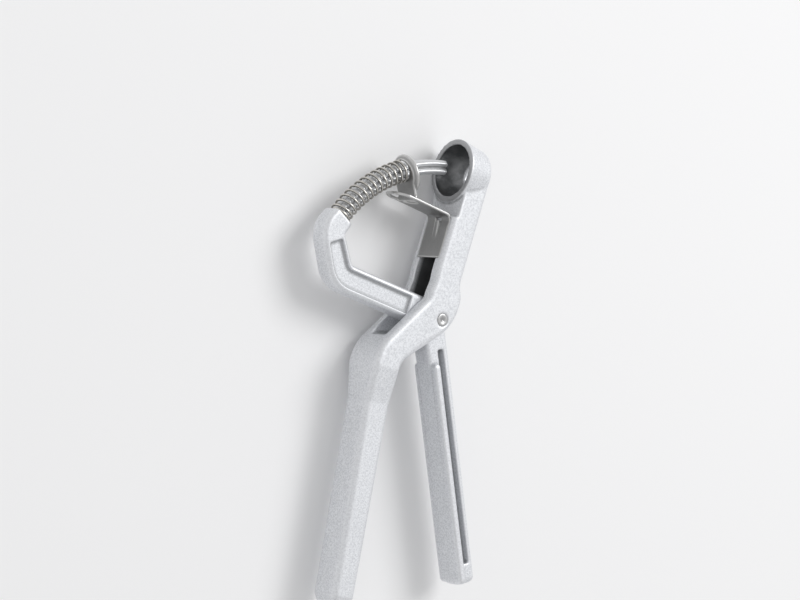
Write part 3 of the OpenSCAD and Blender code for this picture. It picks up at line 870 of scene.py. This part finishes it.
class PITTER_OT_stage(bpy.types.Operator):
    """Make the camera, the plain pale floor and the soft studio light."""

    bl_idname = "pitter.stage"
    bl_label = "Stage"

    def execute(self, context):
        stage = context.scene.pitter_stage
        scene = context.scene
        scene.view_settings.view_transform = "Standard"
        self.add_camera(scene, stage)
        self.add_floor(stage)
        world = bpy.data.worlds.new("soft_room")
        world.use_nodes = True
        world.node_tree.nodes["Background"].inputs["Color"].default_value = (*ROOM_TONE, 1)
        scene.world = world
        add_lamp("key", *KEY_LAMP)
        add_lamp("fill", *FILL_LAMP)
        return {"FINISHED"}

    def add_camera(self, scene, stage):
        """Sets the camera at its distance from the aim, along the direction turned by yaw from +Z towards -X
        and raised by lift towards +Y, with its lens such that the stage's scale holds at the aim."""
        flat = math.cos(stage.lift)
        back = Vector((-math.sin(stage.yaw) * flat, math.sin(stage.lift), math.cos(stage.yaw) * flat))
        right = Vector((0, 1, 0)).cross(back).normalized()
        up = back.cross(right)
        turned = Matrix((right, up, back)).transposed() @ Matrix.Rotation(stage.roll, 3, "Z")
        data = bpy.data.cameras.new("camera")
        data.sensor_width = 36.0
        data.lens = stage.distance / stage.scale * data.sensor_width / PICTURE_WIDTH
        data.clip_start = 0.01
        camera = bpy.data.objects.new("camera", data)
        camera.matrix_world = Matrix.Translation(Vector(stage.aim) + back * stage.distance) @ turned.to_4x4()
        scene.collection.objects.link(camera)
        scene.camera = camera

    def add_floor(self, stage):
        """One flat sheet just below the object's lowest point."""
        height = CAD_BOX[0][2] - stage.floor_gap
        x, y = np.meshgrid(np.linspace(-FLOOR_HALF, FLOOR_HALF, 3), np.linspace(-FLOOR_HALF, FLOOR_HALF, 3))
        points = np.stack([x.ravel(), y.ravel(), np.full(9, height)], axis=-1)
        faces = [(k, k + 1, k + 4, k + 3) for k in (0, 1, 3, 4)]
        mesh = bpy.data.meshes.new("floor")
        mesh.from_pydata(points.tolist(), [], faces)
        floor = show("floor", mesh)
        board = Finish("floor_board", Roughness=0.7, Specular_IOR_Level=0.2)
        cloud = board.noise(board.place(), 3, 2)
        ground = tuple(stage.floor)
        board.feed(Base_Color=board.mix(cloud, ground, tuple(tone * FLOOR_CLOUD for tone in ground)))
        mesh.materials.append(board.material)


def add_lamp(name, place, size, power):
    """A square soft lamp that faces the middle of the pivot."""
    data = bpy.data.lights.new(name, "AREA")
    data.size = size
    data.energy = power
    lamp = bpy.data.objects.new(name, data)
    lamp.location = place
    lamp.rotation_euler = (Vector(place) - Vector((0, 0, MID_Z))).to_track_quat("Z", "Y").to_euler()
    bpy.context.scene.collection.objects.link(lamp)


class PITTER_PT_pieces(bpy.types.Panel):
    """Lists the pieces in the sidebar."""

    bl_label = "Olive Pitter"
    bl_idname = "PITTER_PT_pieces"
    bl_space_type = "VIEW_3D"
    bl_region_type = "UI"
    bl_category = "Pitter"

    def draw(self, context):
        """One button for each operator, then a box for each group of settings."""
        for operator in OPERATORS:
            self.layout.operator(operator.bl_idname)
        for group in (context.scene.pitter_sizes, context.scene.pitter_finishes, context.scene.pitter_stage):
            box = self.layout.box()
            for name in group.__annotations__:
                box.prop(group, name)


OPERATORS = (PITTER_OT_stage, PITTER_OT_cast_levers, PITTER_OT_plunger, PITTER_OT_spring,
             PITTER_OT_stripper, PITTER_OT_pivot_pin)
GROUPS = (PitterSizes, PitterFinishes, PitterStage)


def register():
    """Adds the classes, and the groups of settings to every scene."""
    for kind in GROUPS + OPERATORS + (PITTER_PT_pieces,):
        bpy.utils.register_class(kind)
    bpy.types.Scene.pitter_sizes = PointerProperty(type=PitterSizes)
    bpy.types.Scene.pitter_finishes = PointerProperty(type=PitterFinishes)
    bpy.types.Scene.pitter_stage = PointerProperty(type=PitterStage)


def unregister():
    """Takes away what register added, last first."""
    del bpy.types.Scene.pitter_stage
    del bpy.types.Scene.pitter_finishes
    del bpy.types.Scene.pitter_sizes
    for kind in reversed(GROUPS + OPERATORS + (PITTER_PT_pieces,)):
        bpy.utils.unregister_class(kind)


def main():
    """Builds the pieces and the stage."""
    register()
    bpy.ops.pitter.stage()
    bpy.ops.pitter.cast_levers()
    bpy.ops.pitter.plunger()
    bpy.ops.pitter.spring()
    bpy.ops.pitter.stripper()
    bpy.ops.pitter.pivot_pin()


if __name__ == "__main__":
    main()
